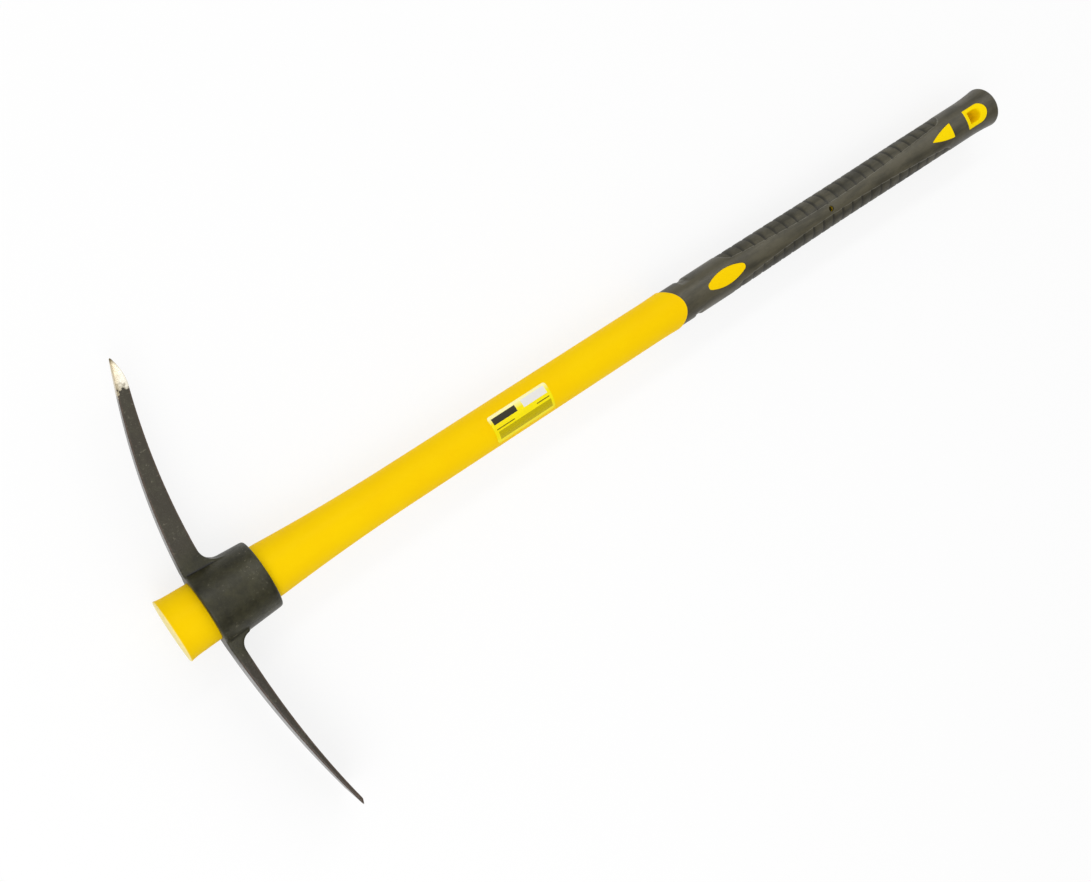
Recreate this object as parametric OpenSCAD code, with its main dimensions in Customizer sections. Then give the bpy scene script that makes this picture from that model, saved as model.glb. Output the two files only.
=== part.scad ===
// Pick axe: a forged head with a point and a chisel, dropped onto a tapered moulded handle.
// The handle lies along X, with its flared end face at 0 and the grip towards +X.
// +Y is the side of the point and +Z is square to the plane of the two tines.

/* [Handle] */
// Length of the handle from the flared end to the butt
handle_length = 900; // [860:5:960]
// Radius that the taper reaches at the flared end
flare_radius = 25.2; // [24.5:0.1:26]
// Half angle of the taper that the head wedges on
taper_angle = 2.15; // [1.8:0.05:2.4]
// Length of the taper in front of the eye
taper_run = 6; // [4:0.5:10]
// Height of the lip on the flared end
lip_height = 0.8; // [0.4:0.1:1.2]
// Length over which the lip runs out
lip_length = 10; // [6:1:16]
// Radius of the rounded rim of the flared end
flare_rim = 0.8; // [0.5:0.1:2]
// Radius of the shaft between the head and the grip
shaft_radius = 18; // [17.4:0.1:18.4]
// Length over which the taper curves in to the shaft
neck_length = 120; // [90:1:140]
// Radius of the collar that shields the edge of the grip
collar_radius = 19; // [18.6:0.1:19.5]
// Length over which the shaft swells to the collar
collar_length = 33; // [20:1:45]
// Radius of the collar's rounded end, seen square to the tines
collar_round = 22.5; // [21:0.5:30]

/* [Core] */
// Radius of the fibreglass core rod
core_radius = 11; // [9:0.5:12]
// Thickness of the moulding over the head end of the core
core_cover = 8; // [5:0.5:15]

/* [Grip] */
// Length of the grip
grip_length = 417; // [400:1:440]
// Radius of the moulding under the grip
tang_radius = 15.2; // [14.8:0.1:15.6]
// Radius of the grip where it meets the collar
grip_start_radius = 17.5; // [17:0.1:17.7]
// Radius of the two palm swells
palm_radius = 17.8; // [17.6:0.1:18.2]
// Radius of the waist between the palm swells
waist_radius = 17.3; // [17:0.1:17.5]
// Radius of the butt
butt_radius = 19.5; // [18.8:0.1:20]
// Radius of the rounded edge of the butt
butt_edge = 4.5; // [3:0.5:6]
// Thickness of the grip over the end of the moulding
butt_wall = 4; // [3:0.5:5]
// Distance from the start of the grip to the first palm swell
first_palm_place = 60; // [40:1:80]
// Distance from the start of the grip to the waist
waist_place = 208; // [180:1:230]
// Distance from the butt to the second palm swell
second_palm_place = 102; // [80:1:120]
// Length over which the grip flares to the butt
butt_flare = 33; // [24:1:40]

/* [Ribs] */
// Number of grooves in each side panel
groove_count = 22; // [16:1:24]
// Spacing of the grooves
groove_pitch = 12.6; // [11:0.1:13]
// Width of a groove at the surface
groove_width = 3.2; // [2:0.1:4]
// Width of a groove's steep wall, on the side of the head
groove_steep = 0.8; // [0.4:0.1:1.2]
// Depth of a groove
groove_depth = 0.9; // [0.5:0.1:1.2]
// Distance from the start of the grip to the first groove
groove_start = 76; // [70:0.1:90]
// Distance from the start of the grip to the side panels
panel_start = 67; // [60:1:70]
// Distance from the butt to the side panels
panel_end = 62; // [56:1:70]
// Half angle of the smooth band between the two panels at its narrowest
band_angle = 16.5; // [14:0.5:24]
// Half angle of the smooth band at the first and the last groove
band_end_angle = 40; // [30:1:50]

/* [Notches] */
// Distance from the start of the grip to the notch in each side
notch_place = 20.5; // [16:0.5:24]
// Length of a notch
notch_length = 9.5; // [6:0.5:12]
// Depth of a notch
notch_depth = 1.2; // [0.6:0.1:1.5]
// Angle away from the upper and lower faces at which a notch starts
notch_angle = 40; // [30:1:60]

/* [Windows] */
// Gap between a moulded window and the grip around it
window_gap = 0.2; // [0.1:0.05:0.4]
// Depth of a window's face below the grip
window_inset = 0.15; // [0.05:0.05:0.3]
// Length of the leaf window
leaf_length = 43; // [36:0.5:48]
// Width of the leaf window
leaf_width = 14.2; // [12:0.2:17]
// Radius of the leaf window's rounded ends
leaf_end_radius = 3.2; // [2:0.2:4.5]
// Distance from the start of the grip to the middle of the leaf window
leaf_place = 60.4; // [50:0.2:70]
// Radius of the round hole left by the mould's support pin
pin_hole_radius = 2.7; // [2:0.1:3.5]
// Distance from the start of the grip to the pin hole
pin_hole_place = 190; // [150:1:220]
// Depth of the pin hole in the moulding under the grip
pin_hole_depth = 2; // [1:0.1:2.5]
// Length of the arrow window
arrow_length = 28.9; // [24:0.1:31]
// Width of the arrow window at its base
arrow_width = 14.4; // [12:0.2:18]
// Radius of the arrow window's bowed sides
arrow_bow = 100; // [70:1:140]
// Distance from the butt to the corners of the arrow window's base
arrow_place = 61.8; // [56:0.1:70]
// Length of the window around the hang hole
hang_window_length = 27.7; // [26:0.1:34]
// Width of the window around the hang hole
hang_window_width = 18.8; // [17:0.2:22]
// Distance from the butt to the window around the hang hole
hang_window_place = 14.6; // [13:0.1:20]
// Length of the hang hole
hang_hole_length = 14.6; // [13:0.2:17]
// Width of the hang hole
hang_hole_width = 11; // [9:0.5:12]
// Distance from the butt to the hang hole
hang_hole_place = 22.6; // [20:0.1:26]
// Radius of the bowed edge of the arrow's base, and of the front of the hang window and its hole
front_round = 40; // [30:1:60]

/* [Head] */
// Length of the handle that stands out behind the head
head_place = 27; // [22:0.5:32]
// Length of the eye along the handle
eye_length = 50.5; // [46:0.5:56]
// Wall of the eye at its front rim
eye_wall = 5.8; // [4.5:0.1:7]
// Outer radius of the eye at its back face
eye_back_radius = 31.5; // [30.5:0.1:33]
// Rounded edge of the eye's rims
eye_edge = 1.6; // [0.8:0.1:2]
// Radial gap between the eye and the handle
fit_gap = 0.3; // [0.2:0.05:0.4]
// Depth to which the tines' roots run into the eye
root_depth = 8; // [6:0.5:10]
// Rounded edge along the tines
tine_edge = 1.2; // [0.8:0.1:2.5]

/* [Point] */
// Reach of the point from the handle's axis
point_reach = 192; // [180:1:205]
// Fall of the back of the point towards the grip
point_drop = 39.5; // [34:0.5:44]
// Lean of the back of the point at its root
point_lean = 5.1; // [3:0.1:7]
// Thickness of the point at its root
point_root = 18.2; // [16:0.2:20]
// Thickness of the point where its ground tip starts
point_end = 9.8; // [8:0.1:11]
// Width of the point at its root
point_root_width = 20; // [17:0.5:24]
// Width of the point where its ground tip starts
point_end_width = 13; // [10:0.5:15]
// Length of the ground tip
point_tip = 24; // [18:1:30]
// Size of the blunted tip
tip_size = 1.2; // [0.8:0.1:2]
// Radius of the fillet where the front of the point leaves the eye
point_fillet = 14; // [10:0.5:18]

/* [Chisel] */
// Reach of the chisel from the handle's axis
chisel_reach = 185; // [175:1:200]
// Fall of the back of the chisel towards the grip
chisel_drop = 19.5; // [15:0.5:25]
// Lean of the back of the chisel at its root
chisel_lean = 2.9; // [2:0.1:4]
// Thickness of the chisel at its root
chisel_root = 9.2; // [8:0.1:11]
// Thickness of the chisel behind its edge
chisel_end = 2.8; // [2.5:0.1:4]
// Width of the chisel at its root
chisel_root_width = 34; // [28:0.5:38]
// Width of the chisel's edge
chisel_width = 52; // [44:1:55]
// Length of the bevel at the chisel's edge
chisel_bevel = 4; // [3:0.5:6]
// Thickness left at the chisel's edge
chisel_land = 0.6; // [0.4:0.1:1]
// Radius of the fillet where the front of the chisel leaves the eye
chisel_fillet = 10; // [8:0.5:14]

/* [Label] */
// Length of the label along the handle
label_length = 59; // [50:1:65]
// Width of the label, measured straight across
label_width = 23.6; // [18:0.2:26]
// Thickness of the label
label_thickness = 0.2; // [0.1:0.05:0.4]
// Corner radius of the label
label_corner = 2; // [1:0.5:5]
// Distance of the label's middle from the middle of the straight shaft, towards the head
label_shift = 15.9; // [0:0.1:20]
// Angle of the label's middle away from the upper face, towards the chisel
label_turn = 10; // [0:1:30]

/* [Hidden] */
$fn = 96;

// Gap between pieces that are moulded or stuck onto each other
skin_gap = 0.05;
// Overshoot of a cut past the face that it opens
cut = 1;
// Steps along a rounded corner, a lip, a curve of the handle and a tine
corner_steps = 3;
lip_steps = 4;
curve_steps = 8;
tine_steps = 12;
// A rounded edge takes at most one part in this many of a tine's thickness
edge_parts = 3;
// How quickly the chisel thins: 1 is even, and more thins it sooner
chisel_thinning = 1.5;

eye_front = head_place + eye_length;
eye_front_radius = taper_radius(eye_front) + fit_gap + eye_wall;
taper_end = eye_front + taper_run;
neck_end = taper_end + neck_length;
grip_start = handle_length - grip_length;
collar_bow = collar_round - sqrt(pow(collar_round, 2) - pow(collar_radius, 2));
collar_end = grip_start + collar_bow;
collar_start = collar_end - collar_length;
sheath_end = handle_length - butt_wall;
first_palm = grip_start + first_palm_place;
waist = grip_start + waist_place;
second_palm = handle_length - second_palm_place;
flare_start = handle_length - butt_flare;
flare_end = handle_length - butt_edge;
hang_window_end = handle_length - hang_window_place;
hang_window_start = hang_window_end - hang_window_length;
pin_hole = grip_start + pin_hole_place;
panel_from = grip_start + panel_start;
panel_to = handle_length - panel_end;
first_groove = grip_start + groove_start;
last_groove = first_groove + (groove_count - 1) * groove_pitch;

function mix(a, b, t) = a + (b - a) * t;
function share(x, a, b) = min(1, max(0, (x - a) / (b - a)));
function ease(a, b, t) = mix(a, b, t * t * (3 - 2 * t));
// A value that leaves a level and curves away to b
function swell(a, b, t) = mix(a, b, t * t);
function steps_between(a, b, n) = [for (i = [0:n]) mix(a, b, i / n)];

function taper_radius(x) = flare_radius - x * tan(taper_angle);

// Radius of the moulding from the flared end to the collar
function handle_radius(x) =
    x <= taper_end ? taper_radius(x) + swell(0, lip_height, 1 - share(x, 0, lip_length))
    : x <= neck_end ? swell(shaft_radius, taper_radius(taper_end), 1 - share(x, taper_end, neck_end))
    : swell(shaft_radius, collar_radius, share(x, collar_start, collar_end));

// Radius of the grip from the collar to where the butt's edge rounds over
function grip_radius(x) =
    x <= first_palm ? ease(grip_start_radius, palm_radius, share(x, grip_start, first_palm))
    : x <= waist ? ease(palm_radius, waist_radius, share(x, first_palm, waist))
    : x <= second_palm ? ease(waist_radius, palm_radius, share(x, waist, second_palm))
    : swell(palm_radius, butt_radius, share(x, flare_start, flare_end));

// Turns a profile of [radius, place] points about the handle's axis
module turned(profile) {
    rotate([0, 90, 0])
        rotate_extrude()
            polygon(profile);
}

// Rounded corner of a profile, from one angle to another about its centre
function corner(centre, radius, from, to) =
    [for (a = steps_between(from, to, 2 * corner_steps)) centre + radius * [cos(a), sin(a)]];

// A prism through the whole handle, square to the plane of the tines
module through_handle() {
    translate([0, 0, -2 * butt_radius])
        linear_extrude(4 * butt_radius)
            children();
}

// Everything from the head up to the rounded end of the collar
module collar_outline(grow = 0) {
    middle = collar_end - collar_round;
    translate([middle, 0])
        circle(collar_round + grow);
    translate([-cut, -2 * flare_radius])
        square([middle + cut, 4 * flare_radius]);
}

// Solid of the grip's outer form, sunk by the given depth
module grip_form(sunk = 0) {
    edge_centre = [butt_radius - butt_edge, flare_end];
    between_grooves = [for (i = [0:groove_count - 1]) first_groove + (i + 0.5) * groove_pitch];
    last = between_grooves[groove_count - 1];
    stations = concat(
        steps_between(grip_start, between_grooves[0] - groove_pitch, curve_steps),
        between_grooves,
        [for (i = [1:curve_steps - 1]) mix(last, flare_end, i / curve_steps)]
    );
    turned(concat(
        [[0, grip_start]],
        [for (x = stations) [grip_radius(x) - sunk, x]],
        corner(edge_centre, butt_edge - sunk, 0, 90),
        [[0, handle_length - sunk]]
    ));
}

// Leaf outline: two long arcs that run into two round ends
module leaf_outline(grow = 0) {
    half = leaf_width / 2;
    reach = leaf_length / 2 - leaf_end_radius;
    flank = (pow(reach, 2) + pow(half, 2) - pow(leaf_end_radius, 2)) / (2 * (half - leaf_end_radius));
    meet = reach * flank / (flank - leaf_end_radius);
    translate([grip_start + leaf_place, 0]) {
        intersection() {
            translate([0, half - flank])
                circle(flank + grow);
            translate([0, flank - half])
                circle(flank + grow);
            square([2 * meet, 2 * leaf_width], center = true);
        }
        for (x = [-reach, reach])
            translate([x, 0])
                circle(leaf_end_radius + grow);
    }
}

// Arrow outline: a triangle with slightly bowed sides, a hollow base and its apex towards the head
module arrow_outline(grow = 0) {
    base = handle_length - arrow_place;
    difference() {
        intersection() {
            arrow_side(1, base, grow);
            arrow_side(-1, base, grow);
            translate([base - 2 * arrow_length, -arrow_width])
                square([2 * arrow_length + grow, 2 * arrow_width]);
        }
        translate([base + sqrt(pow(front_round, 2) - pow(arrow_width / 2, 2)), 0])
            circle(front_round - grow);
    }
}

// Disc whose rim is one bowed side of the arrow
module arrow_side(side, base, grow) {
    half = arrow_width / 2;
    side_length = norm([arrow_length, half]);
    depth = sqrt(pow(arrow_bow, 2) - pow(side_length / 2, 2));
    inward = [half, -side * arrow_length] / side_length;
    translate([base - arrow_length / 2, side * half / 2] + depth * inward)
        circle(arrow_bow + grow);
}

// An outline that is slightly bowed towards the head and round towards the butt
module round_ended(start, end, width, bow) {
    radius = width / 2;
    translate([end - radius, 0])
        circle(radius);
    intersection() {
        translate([start, -radius])
            square([end - radius - start, width]);
        translate([start + bow, 0])
            circle(bow);
    }
}

module window_outlines(grow = 0) {
    leaf_outline(grow);
    arrow_outline(grow);
    round_ended(
        hang_window_start - grow,
        hang_window_end + grow,
        hang_window_width + 2 * grow,
        front_round + grow
    );
}

module hang_hole_outline() {
    end = handle_length - hang_hole_place;
    round_ended(end - hang_hole_length, end, hang_hole_width, front_round);
}

// Half angle of the smooth band: narrowest at the pin hole
function band_half_angle(x) =
    swell(band_angle, band_end_angle, share(x, pin_hole, x < pin_hole ? first_groove : last_groove));

// Upper edge of the side panels, seen from the side
function panel_edge(x) = waist_radius * cos(band_half_angle(x));

// Grooves of both side panels: rings that stop at the edge of the panels
module grooves() {
    places = [for (i = [0:groove_count - 1]) first_groove + i * groove_pitch];
    upper_edge = [for (x = places) [x, panel_edge(x)]];
    lower_edge = [for (i = [groove_count - 1:-1:0]) [places[i], -panel_edge(places[i])]];
    intersection() {
        for (x = places)
            groove_ring(x);
        translate([0, 2 * butt_radius, 0])
            rotate([90, 0, 0])
                linear_extrude(4 * butt_radius)
                    polygon(concat([[panel_from, 0]], upper_edge, [[panel_to, 0]], lower_edge));
    }
}

// One groove: steep towards the head and sloped towards the butt, like a saw tooth
module groove_ring(x) {
    top = grip_radius(x) + cut;
    rise = (groove_depth + cut) / groove_depth;
    turned([
        [grip_radius(x) - groove_depth, x],
        [top, x + rise * (groove_width - groove_steep)],
        [top, x - rise * groove_steep]
    ]);
}

// Shallow notches in the two sides of the grip, next to the collar
module notches() {
    start = grip_start + notch_place;
    end = start + notch_length;
    bottom = grip_start_radius - notch_depth;
    edge = grip_start_radius * cos(notch_angle);
    intersection() {
        turned([[bottom, start], [bottom, end], [butt_radius, end], [butt_radius, start]]);
        translate([start - cut, -2 * butt_radius, -edge])
            cube([notch_length + 2 * cut, 4 * butt_radius, 2 * edge]);
    }
}

module sheath() {
    rim_radius = handle_radius(0);
    stations = concat(
        [for (i = [1:lip_steps]) mix(flare_rim, lip_length, i / lip_steps)],
        steps_between(taper_end, neck_end, curve_steps),
        steps_between(collar_start, collar_end, curve_steps)
    );
    color([0.96, 0.79, 0.02])
        difference() {
            union() {
                intersection() {
                    turned(concat(
                        [[0, 0]],
                        corner([rim_radius - flare_rim, flare_rim], flare_rim, -90, 0),
                        [for (x = stations) [handle_radius(x), x]],
                        [[0, collar_end]]
                    ));
                    through_handle()
                        collar_outline();
                }
                turned([
                    [0, collar_start],
                    [tang_radius, collar_start],
                    [tang_radius, sheath_end],
                    [0, sheath_end]
                ]);
                intersection() {
                    grip_form(window_inset);
                    through_handle()
                        window_outlines();
                }
            }
            core_space(skin_gap);
            through_handle()
                hang_hole_outline();
            for (side = [-1, 1])
                translate([pin_hole, 0, side * tang_radius])
                    cylinder(h = 2 * pin_hole_depth, r = pin_hole_radius, center = true);
        }
}

// Space of the core rod, grown by a gap
module core_space(gap = 0) {
    translate([core_cover - gap, 0, 0])
        rotate([0, 90, 0])
            cylinder(h = hang_window_start - core_cover + 2 * gap, r = core_radius + gap);
}

module core_rod() {
    color([0.86, 0.84, 0.74])
        core_space();
}

module grip() {
    color([0.24, 0.23, 0.21])
        difference() {
            grip_form();
            turned([
                [0, grip_start - cut],
                [tang_radius + skin_gap, grip_start - cut],
                [tang_radius + skin_gap, sheath_end + skin_gap],
                [0, sheath_end + skin_gap]
            ]);
            through_handle() {
                collar_outline(window_gap);
                window_outlines(window_gap);
                translate([pin_hole, 0])
                    circle(pin_hole_radius);
            }
            grooves();
            notches();
        }
}

// Back of a tine at a distance y from the axis: it leaves the eye with a lean and bends away
function back_place(y, reach, drop, lean) =
    let (out = max(0, y - eye_back_radius), full = reach - eye_back_radius, leaned = full * tan(lean))
    head_place + leaned * out / full + swell(0, drop - leaned, out / full);

// Extra thickness of a tine inside the fillet that runs out of the eye
function fillet_extra(y, radius) =
    let (left = radius - min(radius, max(0, y - eye_front_radius)))
    radius - sqrt(pow(radius, 2) - pow(left, 2));

// One section of a tine at a distance y from the axis: a rectangle with rounded corners
function section(y, back, front, width, radius) = [
    for (side = [0:3], a = steps_between(90 * side, 90 * side + 90, corner_steps)) [
        (side == 0 || side == 3 ? front - radius : back + radius) + radius * cos(a),
        y,
        (side < 2 ? 1 : -1) * (width / 2 - radius) + radius * sin(a)
    ]
];

// Solid skinned over a row of sections
module skinned(sections) {
    n = len(sections[0]);
    last = len(sections) - 1;
    polyhedron(
        points = [for (s = sections, p = s) p],
        faces = concat(
            [[for (i = [n - 1:-1:0]) i]],
            [[for (i = [0:n - 1]) last * n + i]],
            [for (k = [0:last - 1], i = [0:n - 1]) [k * n + i, k * n + (i + 1) % n, (k + 1) * n + i]],
            [for (k = [0:last - 1], i = [0:n - 1])
                [k * n + (i + 1) % n, (k + 1) * n + (i + 1) % n, (k + 1) * n + i]]
        )
    );
}

// Distances from the axis at which a tine's sections lie: close in the fillet, then even
function tine_places(fillet, reach) = concat(
    [eye_back_radius - root_depth],
    steps_between(eye_front_radius, eye_front_radius + fillet, curve_steps),
    [for (i = [1:tine_steps]) mix(eye_front_radius + fillet, reach, i / tine_steps)]
);

function tine_corner(thickness) = min(tine_edge, thickness / edge_parts);

module point_tine() {
    tip_start = point_reach - point_tip;
    function back(y) = back_place(y, point_reach, point_drop, point_lean);
    function along(y) = share(y, eye_back_radius, tip_start);
    function thickness(y) = mix(point_root, point_end, along(y));
    body = [
        for (y = tine_places(point_fillet, tip_start)) section(
            y,
            back(y),
            back(y) + thickness(y) + fillet_extra(y, point_fillet),
            mix(point_root_width, point_end_width, along(y)),
            tine_corner(thickness(y))
        )
    ];
    apex = back(point_reach) - tip_size / 2;
    skinned(concat(body, [section(point_reach, apex, apex + tip_size, tip_size, tine_corner(tip_size))]));
}

module chisel_tine() {
    bevel_start = chisel_reach - chisel_bevel;
    function back(y) = back_place(y, chisel_reach, chisel_drop, chisel_lean);
    function along(y) = share(y, eye_back_radius, bevel_start);
    function thickness(y) = mix(chisel_end, chisel_root, pow(1 - along(y), chisel_thinning));
    body = [
        for (y = tine_places(chisel_fillet, bevel_start)) section(
            y,
            back(y),
            back(y) + thickness(y) + fillet_extra(y, chisel_fillet),
            mix(chisel_root_width, chisel_width, along(y)),
            tine_corner(thickness(y))
        )
    ];
    edge = back(chisel_reach);
    end = section(chisel_reach, edge, edge + chisel_land, chisel_width, tine_corner(chisel_land));
    mirror([0, 1, 0])
        skinned(concat(body, [end]));
}

module pick_head() {
    back_corner = [eye_back_radius - eye_edge, head_place + eye_edge];
    front_corner = [eye_front_radius - eye_edge, eye_front - eye_edge];
    color([0.22, 0.21, 0.19])
        difference() {
            union() {
                turned(concat(
                    [[0, head_place]],
                    corner(back_corner, eye_edge, -90, 0),
                    corner(front_corner, eye_edge, 0, 90),
                    [[0, eye_front]]
                ));
                point_tine();
                chisel_tine();
            }
            turned([
                [0, head_place - cut],
                [taper_radius(head_place - cut) + fit_gap, head_place - cut],
                [taper_radius(eye_front + cut) + fit_gap, eye_front + cut],
                [0, eye_front + cut]
            ]);
        }
}

// A bare label that wraps part of the way round the shaft
module label() {
    inner = shaft_radius + skin_gap;
    outer = inner + label_thickness;
    start = (neck_end + collar_start - label_length) / 2 - label_shift;
    end = start + label_length;
    color([0.98, 0.9, 0.1])
        intersection() {
            turned([[inner, start - cut], [outer, start - cut], [outer, end + cut], [inner, end + cut]]);
            rotate([label_turn, 0, 0])
                linear_extrude(2 * shaft_radius)
                    translate([start, -label_width / 2]) {
                        translate([label_corner, 0])
                            square([label_length - 2 * label_corner, label_width]);
                        translate([0, label_corner])
                            square([label_length, label_width - 2 * label_corner]);
                        for (x = [label_corner, label_length - label_corner])
                            for (y = [label_corner, label_width - label_corner])
                                translate([x, y])
                                    circle(label_corner);
                    }
        }
}

pick_head();
core_rod();
sheath();
grip();
label();
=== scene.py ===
import math
import bmesh
import bpy
import numpy as np
from mathutils import Matrix, Vector


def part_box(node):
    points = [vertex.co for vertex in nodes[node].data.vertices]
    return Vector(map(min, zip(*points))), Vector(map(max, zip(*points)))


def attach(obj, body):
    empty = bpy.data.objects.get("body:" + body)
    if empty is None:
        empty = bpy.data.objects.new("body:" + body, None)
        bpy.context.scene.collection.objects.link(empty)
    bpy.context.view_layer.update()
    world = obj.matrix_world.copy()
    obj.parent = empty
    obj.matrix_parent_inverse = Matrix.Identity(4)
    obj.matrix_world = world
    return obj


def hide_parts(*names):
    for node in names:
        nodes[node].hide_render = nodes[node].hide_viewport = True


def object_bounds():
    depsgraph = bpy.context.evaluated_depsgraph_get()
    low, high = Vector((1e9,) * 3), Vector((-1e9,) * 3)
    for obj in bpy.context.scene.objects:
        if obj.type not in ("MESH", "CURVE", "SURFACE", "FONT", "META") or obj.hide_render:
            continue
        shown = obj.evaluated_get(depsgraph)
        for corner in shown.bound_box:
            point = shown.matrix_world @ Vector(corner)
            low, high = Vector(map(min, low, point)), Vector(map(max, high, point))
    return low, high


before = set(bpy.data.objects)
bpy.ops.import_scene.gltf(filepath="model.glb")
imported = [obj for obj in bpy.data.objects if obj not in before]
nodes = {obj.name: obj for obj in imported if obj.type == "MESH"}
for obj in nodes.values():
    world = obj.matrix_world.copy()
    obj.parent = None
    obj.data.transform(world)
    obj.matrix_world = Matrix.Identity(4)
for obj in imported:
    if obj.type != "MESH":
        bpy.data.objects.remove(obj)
cadLow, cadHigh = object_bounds()
scene = bpy.context.scene
mm = 0.001
# points closer than this, in metres, are one point
mergeWithin = 1e-7
# steps along a small rounding
roundSteps = 6
print("frame loaded")


# small mesh helpers

def mix(a, b, t):
    return a + (b - a) * t


# how far x lies on the way from a to b, kept from 0 to 1
def share(x, a, b):
    return min(1.0, max(0.0, (x - a) / (b - a)))


def ease(a, b, t):
    return mix(a, b, t * t * (3 - 2 * t))


# places from a to b in n even steps
def spread(a, b, n):
    return [mix(a, b, i / n) for i in range(n + 1)]


# points of an arc between two angles in degrees
def arc(cx, cy, radius, start, end, steps):
    turns = [math.radians(a) for a in spread(start, end, steps)]
    return [(cx + radius * math.cos(a), cy + radius * math.sin(a)) for a in turns]


def meshFrom(name, points, faces):
    mesh = bpy.data.meshes.new(name)
    mesh.from_pydata(points, [], faces)
    bm = bmesh.new()
    bm.from_mesh(mesh)
    bmesh.ops.remove_doubles(bm, verts=bm.verts, dist=mergeWithin)
    bmesh.ops.recalc_face_normals(bm, faces=bm.faces)
    bm.to_mesh(mesh)
    bm.free()
    obj = bpy.data.objects.new(name, mesh)
    scene.collection.objects.link(obj)
    return obj


# closed skin over a row of rings, or a tube whose last ring meets its first
def skin(name, rings, hollow=False):
    n = len(rings[0])
    rows = len(rings)
    faces = []
    for i in range(rows if hollow else rows - 1):
        j = (i + 1) % rows
        faces += [(i * n + k, i * n + (k + 1) % n, j * n + (k + 1) % n, j * n + k) for k in range(n)]
    if not hollow:
        faces += [tuple(range(n)), tuple(range((rows - 1) * n, rows * n))]
    return meshFrom(name, [p for ring in rings for p in ring], faces)


# turns (place, radius) points in mm about the handle's axis, with no corner on the middle plane
def lathe(name, profile, turns, hollow=False):
    angles = [2 * math.pi * (k + 0.5) / turns for k in range(turns)]
    rings = [[(x * mm, r * mm * math.sin(a), r * mm * math.cos(a)) for a in angles] for x, r in profile]
    return skin(name, rings, hollow)


# upright prism over an outline of (x, y) points in mm
def prism(name, outline, low=-40, high=40):
    return skin(name, [[(x * mm, y * mm, z * mm) for x, y in outline] for z in (low, high)])


# turns what an object's modifiers make into its own mesh
def bake(obj):
    graph = bpy.context.evaluated_depsgraph_get()
    mesh = bpy.data.meshes.new_from_object(obj.evaluated_get(graph), depsgraph=graph)
    obj.modifiers.clear()
    old = obj.data
    obj.data = mesh
    bpy.data.meshes.remove(old)


# joins, cuts or keeps a mesh with the tools, which are used up
def carve(obj, how, *tools):
    for tool in tools:
        mod = obj.modifiers.new(how, "BOOLEAN")
        mod.operation = how
        mod.solver = "EXACT"
        mod.object = tool
    bake(obj)
    for tool in tools:
        bpy.data.objects.remove(tool)


# smooth shading, with edges past an angle in degrees kept sharp
def smooth(obj, angle):
    obj.data.shade_smooth()
    obj.data.set_sharp_from_angle(angle=math.radians(angle))


def finishPiece(obj, body, node, material):
    obj.data.materials.clear()
    obj.data.materials.append(material)
    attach(obj, body)
    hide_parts(node)
    return obj


# camera, above the head and looking along to the grip
view = {
    "place": (-0.0439, 0.1606, 0.9595),
    "aim": (0.3276, -0.0358, 0.0),
    "roll": 86.33,
    "lens": 41.9,
    "sensor": 36.0,
    "clip": (0.01, 60.0),
}


def makeCamera(v):
    data = bpy.data.cameras.new("photoCamera")
    data.sensor_fit = "HORIZONTAL"
    data.sensor_width = v["sensor"]
    data.lens = v["lens"]
    data.clip_start, data.clip_end = v["clip"]
    cam = bpy.data.objects.new("photoCamera", data)
    scene.collection.objects.link(cam)
    look = Vector(v["aim"]) - Vector(v["place"])
    turn = look.to_track_quat("-Z", "Y").to_matrix().to_4x4()
    roll = Matrix.Rotation(math.radians(v["roll"]), 4, "Z")
    cam.matrix_world = Matrix.Translation(v["place"]) @ turn @ roll
    scene.camera = cam


makeCamera(view)
print("camera placed")


# node helpers, for materials and for geometry alike

def feed(tree, value, socket):
    if isinstance(value, (int, float)):
        socket.default_value = value
    elif isinstance(value, tuple):
        socket.default_value = value + (1,)
    else:
        tree.links.new(value, socket)


def calc(tree, how, *values):
    node = tree.nodes.new("ShaderNodeMath")
    node.operation = how
    for value, socket in zip(values, node.inputs):
        feed(tree, value, socket)
    return node.outputs["Value"]


def mapTo(tree, value, fromLow, fromHigh, low=0.0, high=1.0, kind="LINEAR"):
    node = tree.nodes.new("ShaderNodeMapRange")
    node.interpolation_type = kind
    ends = {"Value": value, "From Min": fromLow, "From Max": fromHigh, "To Min": low, "To Max": high}
    for key, end in ends.items():
        feed(tree, end, node.inputs[key])
    return node.outputs["Result"]


def splitPlace(tree, place):
    node = tree.nodes.new("ShaderNodeSeparateXYZ")
    tree.links.new(place, node.inputs["Vector"])
    return node.outputs["X"], node.outputs["Y"], node.outputs["Z"]


# distance of a point from the handle's axis
def axisDistance(tree, y, z):
    squares = [calc(tree, "MULTIPLY", side, side) for side in (y, z)]
    return calc(tree, "SQRT", calc(tree, "ADD", *squares))


def newMaterial(name):
    mat = bpy.data.materials.new(name)
    mat.use_nodes = True
    tree = mat.node_tree
    shader = tree.nodes["Principled BSDF"]
    place = tree.nodes.new("ShaderNodeTexCoord").outputs["Object"]
    return mat, tree, shader, place


def noiseNode(tree, place, scale, detail, rough, stretch=None):
    if stretch:
        mapping = tree.nodes.new("ShaderNodeMapping")
        mapping.inputs["Scale"].default_value = stretch
        tree.links.new(place, mapping.inputs["Vector"])
        place = mapping.outputs["Vector"]
    node = tree.nodes.new("ShaderNodeTexNoise")
    node.inputs["Scale"].default_value = scale
    node.inputs["Detail"].default_value = detail
    node.inputs["Roughness"].default_value = rough
    tree.links.new(place, node.inputs["Vector"])
    return node.outputs["Fac"]


def ramp(tree, value, *stops):
    node = tree.nodes.new("ShaderNodeValToRGB")
    points = node.color_ramp.elements
    while len(points) < len(stops):
        points.new(0.5)
    for point, (at, color) in zip(points, stops):
        point.position = at
        point.color = color + (1,)
    tree.links.new(value, node.inputs["Fac"])
    return node.outputs["Color"]


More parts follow.
